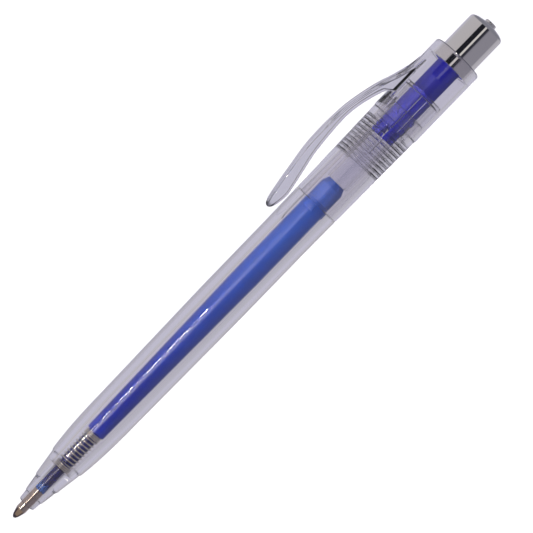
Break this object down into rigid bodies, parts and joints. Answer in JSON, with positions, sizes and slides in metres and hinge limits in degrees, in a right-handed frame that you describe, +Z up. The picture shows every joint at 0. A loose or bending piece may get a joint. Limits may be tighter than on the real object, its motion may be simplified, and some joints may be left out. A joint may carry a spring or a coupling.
{
  "type": "gel pen",
  "caption": "Retractable gel pen: clear screw-together barrel with a stepped nose, clear moulded clip, chromed click button, blue refill and return spring.",
  "frame": {"origin": "front of the writing ball, on the pen's axis", "axes": "+X along the pen from the writing point to the button, +Y from the axis towards the clip, +Z up as the pen lies with its clip to one side"},
  "size_m": [0.1416, 0.0161, 0.0116],
  "materials": {
    "clear_plastic": "moulded clear plastic with a faint lavender-grey tint, polished",
    "clear_inner_plastic": "moulded clear plastic, slightly hazy",
    "chrome": "bright chrome plating",
    "navy_plastic": "moulded dark blue plastic, semi-gloss",
    "blue_plastic": "translucent blue tube, extruded",
    "light_blue_plastic": "translucent lighter blue moulding",
    "nickel_silver": "turned nickel silver",
    "carbide": "ground carbide",
    "gel_ink": "dark blue gel",
    "clear_grease": "clear grease",
    "spring_steel": "drawn spring wire"
  },
  "bodies": {
    "casing": {"upper_barrel": "clear_plastic", "clip_cap": "clear_plastic", "cam_sleeve": "clear_inner_plastic"},
    "clip": {"clip_arm": "clear_plastic"},
    "button": {"plunger": "navy_plastic", "push_button": "chrome"},
    "refill": {"refill_tube": "blue_plastic", "tip_holder": "light_blue_plastic", "point_body": "nickel_silver", "refill_plug": "light_blue_plastic", "gel_ink": "gel_ink", "ink_follower": "clear_grease"},
    "rotor": {"cam_rotor": "clear_inner_plastic"},
    "ball": {"writing_ball": "carbide"},
    "spring": {"return_spring": "spring_steel"},
    "front": {"lower_barrel": "clear_plastic"}
  },
  "joints": [
    {"name": "click", "type": "slide", "parent": "casing", "child": "button", "axis": [1, 0, 0], "range_m": [-0.0012, 0.0048]},
    {"name": "refill_slide", "type": "slide", "parent": "casing", "child": "refill", "axis": [1, 0, 0], "range_m": [-0.0012, 0.0048], "deforming": ["return_spring"]},
    {"name": "rotor_index", "type": "hinge", "parent": "refill", "child": "rotor", "pos_m": [0.1, 0, 0], "axis": [1, 0, 0], "range_deg": [-12, 46]},
    {"name": "ball_roll", "type": "hinge", "parent": "refill", "child": "ball", "pos_m": [0.00035, 0, 0], "axis": [0, 1, 0], "continuous": true},
    {"name": "unscrew_feed", "type": "slide", "parent": "casing", "child": "spring", "axis": [-1, 0, 0], "range_m": [0, 0.0103]},
    {"name": "unscrew_turn", "type": "hinge", "parent": "spring", "child": "front", "pos_m": [0.05, 0, 0], "axis": [-1, 0, 0], "range_deg": [0, 3605]},
    {"name": "clip_flex", "type": "hinge", "parent": "casing", "child": "clip", "pos_m": [0.116, 0.00824, 0], "axis": [0, 0, -1], "range_deg": [0, 5], "stiffness_Nm_per_rad": 0.1}
  ],
  "couplings": [
    {"joint": "refill_slide", "follows": "click", "ratio": 1},
    {"joint": "rotor_index", "follows": "click", "rad_per_m": 163.62},
    {"joint": "unscrew_turn", "follows": "unscrew_feed", "rad_per_m": 6100.2}
  ]
}
